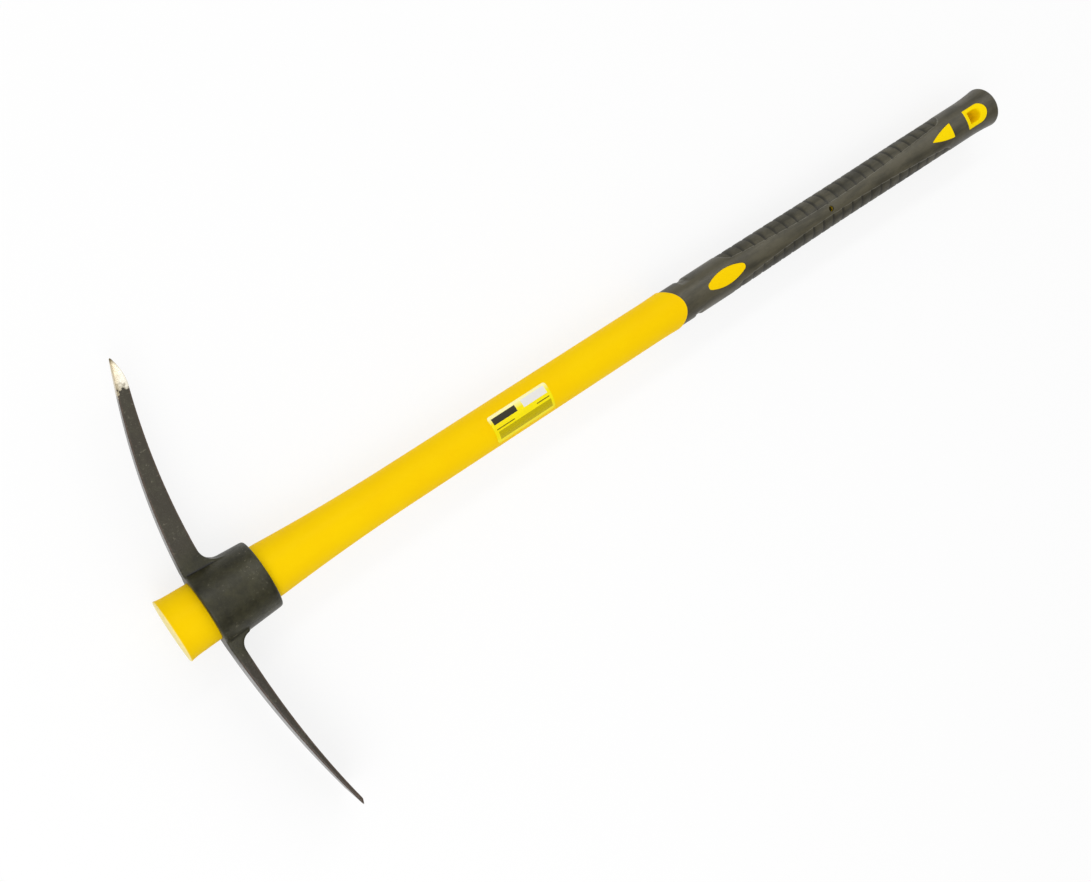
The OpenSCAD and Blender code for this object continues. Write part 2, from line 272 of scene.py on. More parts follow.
# the mix node keeps its colour sockets after those of the same names for numbers and vectors
colorSockets = {"a": 6, "b": 7, "result": 2}


def blendColor(tree, factor, a, b):
    node = tree.nodes.new("ShaderNodeMix")
    node.data_type = "RGBA"
    tree.links.new(factor, node.inputs["Factor"])
    feed(tree, a, node.inputs[colorSockets["a"]])
    feed(tree, b, node.inputs[colorSockets["b"]])
    return node.outputs[colorSockets["result"]]


def bump(tree, shader, height, strength, depth):
    node = tree.nodes.new("ShaderNodeBump")
    node.inputs["Strength"].default_value = strength
    node.inputs["Distance"].default_value = depth
    tree.links.new(height, node.inputs["Height"])
    tree.links.new(node.outputs["Normal"], shader.inputs["Normal"])


def attribute(tree, name):
    node = tree.nodes.new("ShaderNodeAttribute")
    node.attribute_name = name
    return node.outputs["Fac"]


# in each finish a noise is its scale, detail, roughness and stretch, tones are the ends of the range that is
# used, and a bump is its strength and depth; depths and places are in metres

# yellow handle moulding: satin and faintly mottled, with a painted highlight that makes the end face pale
# and painted light that turns it lemon towards the butt
handleFinish = {
    "yellow": (0.94, 0.59, 0.0),
    "deep": (0.92, 0.54, 0.0),
    "cloud": (22, 5, 0.6),
    "cloudTones": (0.3, 0.62),
    # painted light: the moulding is painted a paler lemon towards the butt, where the light falls brighter
    "paintedLightLemon": (1.0, 0.73, 0.0),
    "paintedLightLemonFrom": (0.5, 0.86),
    "paintedLightLemonShare": (0.3, 1),
    # painted highlight: the end face is painted pale cream
    "endFaceHighlight": (0.94, 0.8, 0.34),
    "endHighlightDepth": 0.0006,
    # painted shade down in the pin hole
    "pinShade": (0.05, 0.038, 0.008),
    "pinShadeAt": 0.673,
    "pinShadeReach": 0.0028,
    "pinShadeBelow": 0.0139,
    "pinShadeFade": 0.0012,
    "flow": (60, 3, 0.5, (0.15, 1, 1)),
    "flowTones": (0.3, 0.7),
    "roughness": (0.42, 0.54),
    "specular": 0.04,
    "grain": (900, 2, 0.5),
    "grainBump": (0.12, 0.0002),
}


def handlePlastic(f):
    mat, tree, shader, place = newMaterial("handlePlastic")
    x, y, z = splitPlace(tree, place)
    cloud = noiseNode(tree, place, *f["cloud"])
    flow = noiseNode(tree, place, *f["flow"])
    base = ramp(tree, cloud, *zip(f["cloudTones"], (f["deep"], f["yellow"])))
    # painted light: lemon towards the butt
    base = blendColor(tree, mapTo(tree, x, *f["paintedLightLemonFrom"], *f["paintedLightLemonShare"]), base, f["paintedLightLemon"])
    # painted shade: the floor of the pin hole is painted dark
    fromPin = calc(tree, "ABSOLUTE", calc(tree, "SUBTRACT", x, f["pinShadeAt"]))
    atPin = calc(tree, "LESS_THAN", fromPin, f["pinShadeReach"])
    unshadedFrom = f["pinShadeBelow"] + f["pinShadeFade"]
    deepDown = mapTo(tree, axisDistance(tree, y, z), f["pinShadeBelow"], unshadedFrom, 1, 0)
    base = blendColor(tree, calc(tree, "MULTIPLY", deepDown, atPin), base, f["pinShade"])
    # painted highlight on the end face
    face = mapTo(tree, x, f["endHighlightDepth"], 2 * f["endHighlightDepth"], 1, 0)
    tree.links.new(blendColor(tree, face, base, f["endFaceHighlight"]), shader.inputs["Base Color"])
    tree.links.new(mapTo(tree, flow, *f["flowTones"], *f["roughness"]), shader.inputs["Roughness"])
    shader.inputs["Specular IOR Level"].default_value = f["specular"]
    bump(tree, shader, noiseNode(tree, place, *f["grain"]), *f["grainBump"])
    return mat


# soft grip: dusty dark rubber, smoother along the bands than on the panels, with painted shade on the panels
# and down in the grooves and a painted highlight on the panels' borders
gripFinish = {
    "dark": (0.026, 0.0228, 0.011),
    "dusty": (0.073, 0.064, 0.0365),
    "dustyTones": (0.1, 0.62),
    "cloud": (35, 6, 0.65),
    "cloudTones": (0.3, 0.7),
    "dust": (120, 5, 0.6, (0.2, 1, 1)),
    "dustTones": (0.35, 0.65),
    "dustShare": (0.45, 1.5),
    # painted shade: the side panels are painted darker than the band
    "panelShade": 0.2,
    # painted highlight along the panels' borders
    "rim": (0.2, 0.19, 0.15),
    "rimHighlightTones": (0.05, 0.4),
    "rimHighlightShare": (0, 0.6),
    # painted shade down in the grooves
    "groove": (0.016, 0.0138, 0.006),
    "grooveShadeTones": (0.12, 0.6),
    "roughness": (0.5, 0.37),
    "panelRough": 0.12,
    "specular": 0.45,
    "grain": (1400, 3, 0.6),
    "grainBump": (0.22, 0.0002),
}


def gripRubber(f):
    mat, tree, shader, place = newMaterial("gripRubber")
    cloud = noiseNode(tree, place, *f["cloud"])
    dust = noiseNode(tree, place, *f["dust"])
    both = calc(tree, "MULTIPLY", cloud, mapTo(tree, dust, *f["dustTones"], *f["dustShare"]))
    panel = attribute(tree, "sidePanel")
    # painted shade on the side panels
    both = calc(tree, "SUBTRACT", both, calc(tree, "MULTIPLY", panel, f["panelShade"]))
    color = ramp(tree, both, *zip(f["dustyTones"], (f["dark"], f["dusty"])))
    # painted highlight: the panels' borders, half-way up their walls, are painted pale
    border = calc(tree, "PINGPONG", panel, 0.5)
    color = blendColor(tree, mapTo(tree, border, *f["rimHighlightTones"], *f["rimHighlightShare"]), color, f["rim"])
    # painted shade: darkest down in the grooves
    grooveShade = mapTo(tree, attribute(tree, "grooveDepth"), *f["grooveShadeTones"], kind="SMOOTHSTEP")
    tree.links.new(blendColor(tree, grooveShade, color, f["groove"]), shader.inputs["Base Color"])
    rough = mapTo(tree, cloud, *f["cloudTones"], *f["roughness"])
    rough = calc(tree, "ADD", rough, calc(tree, "MULTIPLY", panel, f["panelRough"]))
    tree.links.new(rough, shader.inputs["Roughness"])
    shader.inputs["Specular IOR Level"].default_value = f["specular"]
    bump(tree, shader, noiseNode(tree, place, *f["grain"]), *f["grainBump"])
    return mat


# forged head: thin black paint over scale, worn brown along the edges, bare steel on the ground tip
headFinish = {
    "paint": (0.011, 0.0102, 0.0035),
    "scale": (0.046, 0.0425, 0.0185),
    "broad": (70, 8, 0.7),
    "broadTones": (0.32, 0.7),
    "fine": (260, 5, 0.65),
    "fineTones": (0.3, 0.7),
    "point": (0.044, 0.037, 0.025),
    "chisel": (0.034, 0.027, 0.0185),
    "tineFrom": (0.036, 0.052),
    "tineShare": 0.85,
    "rubbed": (0.062, 0.058, 0.036),
    "patches": (48, 5, 0.65),
    "rubbedTones": (0.5, 0.68),
    "rubbedFine": (0.4, 0.62, 0.1, 0.75),
    "fleck": (0.24, 0.22, 0.16),
    "flecks": (460, 3, 0.65),
    "fleckTones": (0.6, 0.72),
    "fleckPatches": (0.46, 0.64, 0.06, 0.6),
    "worn": (0.17, 0.105, 0.08),
    "wornBend": (90, 280),
    "wornFine": (0.35, 0.62, 0.15, 0.5),
    # painted shade in the creases
    "creaseShade": (0.005, 0.0045, 0.004),
    "creaseShadeBend": (-60, -260),
    "steel": (0.6, 0.48, 0.28),
    # bare steel, painted near white towards the front as a painted highlight
    "bare": (0.88, 0.83, 0.7),
    "bareFrom": 0.1655,
    "bareFade": 0.0015,
    "bareRagged": 0.03,
    "bareMetal": 0.3,
    "wander": (200, 3, 0.6),
    "streaks": (300, 4, 0.6, (1, 0.15, 1)),
    "streakReach": 0.004,
    "tipSlope": 0.39,
    # painted highlight: the tip is painted paler towards its front
    "paintedHighlightFrom": (-0.0074, -0.0009),
    # tone of the smear beside the grinding, and of the painted shade at the very end of the tip
    "smearAndEndShade": (0.14, 0.11, 0.05),
    "endShadeFrom": (0.187, 0.191),
    "endShadeShare": 0.9,
    "smearReach": 0.006,
    "smearShare": 0.8,
    "eyeRough": (0.34, 0.48),
    "tineRough": (0.2, 0.3),
    "specular": 0.3,
    "lumps": (0.7, 0.35),
    "lumpBump": (0.5, 0.0011),
}


def forgedSteel(f):
    mat, tree, shader, place = newMaterial("forgedSteel")
    x, y = splitPlace(tree, place)[:2]
    broad = noiseNode(tree, place, *f["broad"])
    fine = noiseNode(tree, place, *f["fine"])
    paint = ramp(tree, broad, *zip(f["broadTones"], (f["paint"], f["scale"])))
    out = mapTo(tree, calc(tree, "ABSOLUTE", y), *f["tineFrom"], 0, f["tineShare"])
    tine = blendColor(tree, calc(tree, "GREATER_THAN", y, 0), f["chisel"], f["point"])
    paint = blendColor(tree, out, paint, tine)
    # rubbed patches, with most of the flecks in them
    patches = noiseNode(tree, place, *f["patches"])
    rubbed = mapTo(tree, patches, *f["rubbedTones"])
    rubbed = calc(tree, "MULTIPLY", rubbed, mapTo(tree, fine, *f["rubbedFine"]))
    paint = blendColor(tree, rubbed, paint, f["rubbed"])
    flecks = mapTo(tree, noiseNode(tree, place, *f["flecks"]), *f["fleckTones"])
    flecks = calc(tree, "MULTIPLY", flecks, mapTo(tree, patches, *f["fleckPatches"]))
    paint = blendColor(tree, flecks, paint, f["fleck"])
    # worn edges along the tines, and painted shade in the creases
    bend = attribute(tree, "bend")
    edge = calc(tree, "MULTIPLY", mapTo(tree, bend, *f["wornBend"], kind="SMOOTHSTEP"), out)
    worn = calc(tree, "MULTIPLY", edge, mapTo(tree, fine, *f["wornFine"]))
    paint = blendColor(tree, worn, paint, f["worn"])
    creaseShade = mapTo(tree, bend, *f["creaseShadeBend"], kind="SMOOTHSTEP")
    paint = blendColor(tree, creaseShade, paint, f["creaseShade"])
    # ground tip: ragged where the grinding ends and smeared beside it, with a painted highlight that makes
    # it paler to the front and painted shade that makes it dark at the end
    wander = calc(tree, "SUBTRACT", noiseNode(tree, place, *f["wander"]), 0.5)
    ragged = calc(tree, "ADD", y, calc(tree, "MULTIPLY", wander, f["bareRagged"]))
    bare = mapTo(tree, ragged, f["bareFrom"], f["bareFrom"] + f["bareFade"], kind="SMOOTHSTEP")
    fromBack = calc(tree, "SUBTRACT", x, calc(tree, "MULTIPLY", y, f["tipSlope"]))
    streak = calc(tree, "MULTIPLY", noiseNode(tree, place, *f["streaks"]), f["streakReach"])
    # painted highlight towards the front of the tip
    paintedHighlight = mapTo(tree, calc(tree, "ADD", fromBack, streak), *f["paintedHighlightFrom"])
    steel = blendColor(tree, paintedHighlight, f["steel"], f["bare"])
    smear = mapTo(tree, ragged, f["bareFrom"], f["bareFrom"] + f["smearReach"], f["smearShare"], 0)
    # painted shade at the very end of the tip
    smearAndEndShade = mapTo(tree, y, *f["endShadeFrom"], 0, f["endShadeShare"], "SMOOTHSTEP")
    steel = blendColor(tree, calc(tree, "MAXIMUM", smear, smearAndEndShade), steel, f["smearAndEndShade"])
    tree.links.new(blendColor(tree, bare, paint, steel), shader.inputs["Base Color"])
    tree.links.new(calc(tree, "MULTIPLY", bare, f["bareMetal"]), shader.inputs["Metallic"])
    rough = [mapTo(tree, out, 0, f["tineShare"], *ends) for ends in zip(f["eyeRough"], f["tineRough"])]
    tree.links.new(mapTo(tree, fine, *f["fineTones"], *rough), shader.inputs["Roughness"])
    shader.inputs["Specular IOR Level"].default_value = f["specular"]
    lumps = [calc(tree, "MULTIPLY", *pair) for pair in zip((broad, fine), f["lumps"])]
    bump(tree, shader, calc(tree, "ADD", *lumps), *f["lumpBump"])
    return mat


# fibreglass core: pale strands of glass in resin
coreFinish = {
    "resin": (0.55, 0.5, 0.33),
    "glass": (0.8, 0.77, 0.6),
    "strands": (900, 3, 0.6, (0.02, 1, 1)),
    "tones": (0.3, 0.7),
    "roughness": (0.45, 0.65),
    "bump": (0.2, 0.0002),
}


def coreGlass(f):
    mat, tree, shader, place = newMaterial("coreGlass")
    strands = noiseNode(tree, place, *f["strands"])
    color = ramp(tree, strands, *zip(f["tones"], (f["resin"], f["glass"])))
    tree.links.new(color, shader.inputs["Base Color"])
    tree.links.new(mapTo(tree, strands, *f["tones"], *f["roughness"]), shader.inputs["Roughness"])
    bump(tree, shader, strands, *f["bump"])
    return mat


# label, in mm: a lemon film part of the way round the shaft, printed with plain blocks and bars only
label = {
    "width": 23.6, "corner": 2.0, "inner": 18.05, "outer": 18.25, "turn": -10.0,
    "alongSteps": 8, "acrossSteps": 28, "sharp": 40,
    "film": (0.96, 0.82, 0.0), "deep": (0.93, 0.76, 0.0), "cloud": (60, 3, 0.5), "cloudTones": (0.3, 0.7),
    # painted highlight: the film is painted pale towards its upper edge
    "paintedHighlight": (0.97, 0.93, 0.5), "paintedHighlightFrom": (6.0, 11.8), "paintedHighlightShare": 0.9,
    "roughness": 0.22, "specular": 0.22, "grain": (220, 2, 0.5), "grainBump": (0.06, 0.0002),
    "lineWave": (-0.4, 0.4), "lineShare": (0.4, 1.0),
    "blocks": [
        # middle from the label's middle and half size, each along and across, ink and pitch of fine lines
        {"at": (-15.2, 7.2), "half": (11.7, 2.8), "ink": (0.03, 0.026, 0.012), "lines": 0},
        {"at": (14.7, 7.3), "half": (11.8, 3.4), "ink": (0.8, 0.78, 0.74), "lines": 0},
        {"at": (-17.8, 0.2), "half": (8.9, 0.45), "ink": (0.2, 0.15, 0.0), "lines": 0},
        {"at": (20.4, 0.6), "half": (6.4, 0.45), "ink": (0.2, 0.15, 0.0), "lines": 0},
        {"at": (0.5, -5.8), "half": (26.6, 3.8), "ink": (0.36, 0.27, 0.0), "lines": 0.8},
    ],
}
labelLow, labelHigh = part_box("label")
label["from"] = labelLow[0] / mm
label["to"] = labelHigh[0] / mm


def labelFilm(f):
    mat, tree, shader, place = newMaterial("labelFilm")
    x, y, z = splitPlace(tree, place)
    along = calc(tree, "SUBTRACT", x, (f["from"] + f["to"]) / 2 * mm)
    angle = calc(tree, "SUBTRACT", calc(tree, "ARCTAN2", y, z), math.radians(f["turn"]))
    across = calc(tree, "MULTIPLY", angle, f["outer"] * mm)
    cloud = noiseNode(tree, place, *f["cloud"])
    color = ramp(tree, cloud, *zip(f["cloudTones"], (f["deep"], f["film"])))
    # painted highlight towards the film's upper edge
    paintedHighlightStart, paintedHighlightEnd = [edge * mm for edge in f["paintedHighlightFrom"]]
    paintedHighlight = mapTo(tree, across, paintedHighlightStart, paintedHighlightEnd, 0, f["paintedHighlightShare"])
    color = blendColor(tree, paintedHighlight, color, f["paintedHighlight"])

    def within(value, middle, half):
        off = calc(tree, "ABSOLUTE", calc(tree, "SUBTRACT", value, middle * mm))
        return calc(tree, "LESS_THAN", off, half * mm)

    for block in f["blocks"]:
        sides = [within(v, m, h) for v, m, h in zip((along, across), block["at"], block["half"])]
        inked = calc(tree, "MULTIPLY", *sides)
        if block["lines"]:
            pitch = block["lines"] * mm
            wave = calc(tree, "SINE", calc(tree, "MULTIPLY", across, 2 * math.pi / pitch))
            inked = calc(tree, "MULTIPLY", inked, mapTo(tree, wave, *f["lineWave"], *f["lineShare"]))
        color = blendColor(tree, inked, color, block["ink"])
    tree.links.new(color, shader.inputs["Base Color"])
    shader.inputs["Roughness"].default_value = f["roughness"]
    shader.inputs["Specular IOR Level"].default_value = f["specular"]
    bump(tree, shader, noiseNode(tree, place, *f["grain"]), *f["grainBump"])
    return mat


finishes = {
    "handle": handlePlastic(handleFinish),
    "grip": gripRubber(gripFinish),
    "head": forgedSteel(headFinish),
    "core": coreGlass(coreFinish),
    "label": labelFilm(label),
}
print("materials made")


# handle moulding, in mm along the axis from the flared end
handle = {
    "length": 900.0, "flare": 25.2, "taper": 2.15, "taperEnd": 83.5, "lip": 0.8, "lipRun": 10.0,
    "rim": 0.8, "shaft": 18.0, "neckEnd": 203.5,
    "collar": 19.0, "collarRun": 33.0, "collarRound": 22.5, "collarBack": -5.0, "collarSide": 60.0,
    "gripStart": 483.0, "tang": 15.2, "tangEnd": 896.0, "inset": 0.15, "formLead": 1.0,
    "core": 11.05, "coreFrom": 7.95, "coreTo": 857.75,
    "pinAt": 673.0, "pinRadius": 2.7, "pinDepth": 2.0,
    "holeFrom": 862.8, "holeTo": 877.4, "holeWidth": 11.0,
    "holeRim": 2.0, "holeRimAngle": 12.0, "holeRimLift": 0.15, "holeRimSpread": 1.2,
    "turns": 160, "tangTurns": 96, "coreTurns": 64, "formSteps": 120, "sharp": 35,
}
collarBow = handle["collarRound"] - math.sqrt(handle["collarRound"] ** 2 - handle["collar"] ** 2)
handle["collarEnd"] = handle["gripStart"] + collarBow
handle["collarStart"] = handle["collarEnd"] - handle["collarRun"]

# soft grip over the moulding, in mm and degrees; the ribs start shallow, and deepen over an angle in radians
grip = {
    "start": 17.5, "palm": 17.8, "waist": 17.3, "butt": 19.5, "buttEdge": 2.4,
    "firstPalm": 543.0, "waistAt": 691.0, "secondPalm": 798.0, "flareRun": 33.0,
    "gap": 0.2, "skinGap": 0.05, "skinBelow": 0.8, "capRadius": 6.0, "axisGap": 0.02,
    "ribFirst": 559.0, "ribPitch": 12.6, "ribs": 22, "ribDepth": 1.2, "ribSteep": 0.7, "ribSlope": 4.4,
    "ribShallow": 0.6, "ribDeepens": 0.6, "ribLead": 1.5, "ribTail": 2.0,
    "panelFrom": 550.0, "panelTo": 838.0, "panelSink": 0.3, "panelWall": 3.0,
    "bandAngle": 16.5, "bandEndAngle": 40.0,
    "notchAt": 508.3, "notchHalf": 4.9, "notchRamp": 2.0, "notchDepth": 1.2, "notchAngle": 46.0,
    "notchFade": 22.0,
    "leafAt": 543.4, "leafLength": 43.0, "leafWidth": 14.2, "leafEnd": 3.2,
    "arrowBase": 838.2, "arrowLength": 28.9, "arrowWidth": 14.4, "arrowBow": 100.0, "frontRound": 40.0,
    "windowFrom": 857.7, "windowTo": 885.4, "windowWidth": 18.8,
    "turns": 216, "startSteps": 76, "endSteps": 46, "sharp": 40,
}
grip["ribLast"] = grip["ribFirst"] + (grip["ribs"] - 1) * grip["ribPitch"]

# steps along the curves of the outlines
curveSteps = {
    "collar": 72, "leafSide": 40, "leafEnd": 12, "arrowSide": 24, "front": 16, "roundEnd": 40, "pin": 35,
    "buttEdge": 8,
}


def taperRadius(x):
    return handle["flare"] - x * math.tan(math.radians(handle["taper"]))


def handleRadius(x):
    h = handle
    if x <= h["taperEnd"]:
        return taperRadius(x) + h["lip"] * (1 - share(x, 0, h["lipRun"])) ** 2
    if x <= h["neckEnd"]:
        left = 1 - share(x, h["taperEnd"], h["neckEnd"])
        return mix(h["shaft"], taperRadius(h["taperEnd"]), left ** 2)
    return mix(h["shaft"], h["collar"], share(x, h["collarStart"], h["collarEnd"]) ** 2)


def gripRadius(x):
    g = grip
    flareEnd = handle["length"] - g["buttEdge"]
    if x <= g["firstPalm"]:
        return ease(g["start"], g["palm"], share(x, handle["gripStart"], g["firstPalm"]))
    if x <= g["waistAt"]:
        return ease(g["palm"], g["waist"], share(x, g["firstPalm"], g["waistAt"]))
    if x <= g["secondPalm"]:
        return ease(g["waist"], g["palm"], share(x, g["waistAt"], g["secondPalm"]))
    return mix(g["palm"], g["butt"], share(x, handle["length"] - g["flareRun"], flareEnd) ** 2)


# outlines seen square to the tines
def collarOutline(grow=0.0):
    h = handle
    middle = h["collarEnd"] - h["collarRound"]
    bow = arc(middle, 0, h["collarRound"] + grow, -90, 90, curveSteps["collar"])
    return [(h["collarBack"], -h["collarSide"])] + bow + [(h["collarBack"], h["collarSide"])]


def leafOutline(grow=0.0):
    g = grip
    half = g["leafWidth"] / 2
    reach = g["leafLength"] / 2 - g["leafEnd"]
    flank = (reach ** 2 + half ** 2 - g["leafEnd"] ** 2) / (2 * (half - g["leafEnd"]))
    lean = math.degrees(math.asin(reach / (flank - g["leafEnd"])))
    sideSteps = curveSteps["leafSide"]
    endSteps = curveSteps["leafEnd"]
    out = arc(g["leafAt"], half - flank, flank + grow, 90 - lean, 90 + lean, sideSteps)
    out += arc(g["leafAt"] - reach, 0, g["leafEnd"] + grow, 90 + lean, 270 - lean, endSteps)
    out += arc(g["leafAt"], flank - half, flank + grow, 270 - lean, 270 + lean, sideSteps)
    out += arc(g["leafAt"] + reach, 0, g["leafEnd"] + grow, 270 + lean, 450 - lean, endSteps)
    return out


def arrowOutline(grow=0.0):
    g = grip
    half = g["arrowWidth"] / 2
    bow = g["arrowBow"] + grow
    front = g["frontRound"] - grow
    side = math.hypot(g["arrowLength"], half)
    depth = math.sqrt(g["arrowBow"] ** 2 - (side / 2) ** 2)
    cx = g["arrowBase"] - g["arrowLength"] / 2 + depth * half / side
    cy = half / 2 - depth * g["arrowLength"] / side
    base = g["arrowBase"] + grow
    startAngle = math.degrees(math.acos((base - cx) / bow))
    endAngle = 180 - math.degrees(math.asin(-cy / bow))
    upper = arc(cx, cy, bow, startAngle, endAngle, curveSteps["arrowSide"])
    hollowAt = g["arrowBase"] + math.sqrt(g["frontRound"] ** 2 - half ** 2)
    edge = upper[0][1]
    across = spread(-edge, edge, curveSteps["front"])[1:-1]
    hollow = [(hollowAt - math.sqrt(front ** 2 - y ** 2), y) for y in across]
    return upper + [(x, -y) for x, y in reversed(upper[:-1])] + hollow


# slightly bowed towards the head and round towards the butt
def roundEnded(start, end, width, bow):
    r = width / 2
    across = spread(r, -r, curveSteps["front"])
    front = [(start + bow - math.sqrt(bow ** 2 - y ** 2), y) for y in across]
    return front + arc(end - r, 0, r, -90, 90, curveSteps["roundEnd"])


def windowOutlines(grow=0.0):
    g = grip
    width = g["windowWidth"] + 2 * grow
    hang = roundEnded(g["windowFrom"] - grow, g["windowTo"] + grow, width, g["frontRound"] + grow)
    return [leafOutline(grow), arrowOutline(grow), hang]


# a full circle, whose last point is one step short of its first
def pinOutline():
    return arc(handle["pinAt"], 0, handle["pinRadius"], 0, 350, curveSteps["pin"])


# outer form of the grip as (place, radius), sunk by a depth
def gripProfile(places, sunk):
    g = grip
    edge = arc(0, 0, g["buttEdge"] - sunk, 0, 90, curveSteps["buttEdge"])
    flareEnd = handle["length"] - g["buttEdge"]
    profile = [(x, gripRadius(x) - sunk) for x in places]
    profile += [(flareEnd + y, g["butt"] - g["buttEdge"] + x) for x, y in edge[1:]]
    return profile


# cutter for the hang hole, whose rim rounds over into the moulding's curved skin on both faces
def hangHole():
    h = handle
    rim = h["holeRim"]
    # how far below the skin and how far out from the hole: the rim crosses the skin at a small angle
    levels = [(-h["holeRimLift"], h["holeRimSpread"] * rim)]
    levels += [(rim - x, rim - y) for x, y in arc(0, 0, rim, h["holeRimAngle"], 90, roundSteps)]

    def outline(grow):
        width = h["holeWidth"] + 2 * grow
        return roundEnded(h["holeFrom"] - grow, h["holeTo"] + grow, width, grip["frontRound"] + grow)

    def flatRing(z):
        return [(x * mm, y * mm, z * mm) for x, y in outline(levels[0][1])]

    def sunkRing(face, down, grow):
        tops = [(x, y, math.sqrt((gripRadius(x) - h["inset"]) ** 2 - y ** 2)) for x, y in outline(grow)]
        return [(x * mm, y * mm, face * (top - down) * mm) for x, y, top in tops]

    rings = [flatRing(h["flare"])]
    for face in (1, -1):
        rings += [sunkRing(face, *level) for level in levels[::face]]
    return skin("hangHole", rings + [flatRing(-h["flare"])])


def makeHandle():
    h = handle
    rim = handleRadius(0) - h["rim"]
    profile = [(h["rim"] + x, rim + y) for x, y in arc(0, 0, h["rim"], 180, 90, roundSteps)]
    # from, to and the number of steps
    runs = (
        (h["rim"], h["lipRun"], 6),
        (h["lipRun"], h["taperEnd"], 12),
        (h["taperEnd"], h["neckEnd"], 32),
        (h["neckEnd"], h["collarStart"], 40),
        (h["collarStart"], h["collarEnd"], 14),
    )
    for run in runs:
        profile += [(x, handleRadius(x)) for x in spread(*run)[1:]]
    body = lathe("handleMoulding", profile, h["turns"])
    carve(body, "INTERSECT", prism("collarEnd", collarOutline()))
    tang = lathe("tang", [(x, h["tang"]) for x in (h["collarStart"], h["tangEnd"])], h["tangTurns"])
    # the windows' islands stand on the tang and are trimmed to just below the grip's skin
    carve(tang, "UNION", *[prism("island", outline) for outline in windowOutlines()])
    places = spread(h["gripStart"], h["length"] - grip["buttEdge"], h["formSteps"])
    form = gripProfile(places, h["inset"])
    lead = (h["collarStart"] - h["formLead"], form[0][1])
    carve(tang, "INTERSECT", lathe("form", [lead] + form, h["turns"]))
    carve(body, "UNION", tang)
    core = lathe("coreSpace", [(x, h["core"]) for x in (h["coreFrom"], h["coreTo"])], h["coreTurns"])
    bottom = h["tang"] - h["pinDepth"]
    sides = ((bottom, h["flare"]), (-h["flare"], -bottom))
    pins = [prism("pin", pinOutline(), *ends) for ends in sides]
    carve(body, "DIFFERENCE", core, hangHole(), *pins)
    smooth(body, h["sharp"])
    return finishPiece(body, "handle", "sheath", finishes["handle"])


handlePiece = makeHandle()
print("handle turned", len(handlePiece.data.polygons))


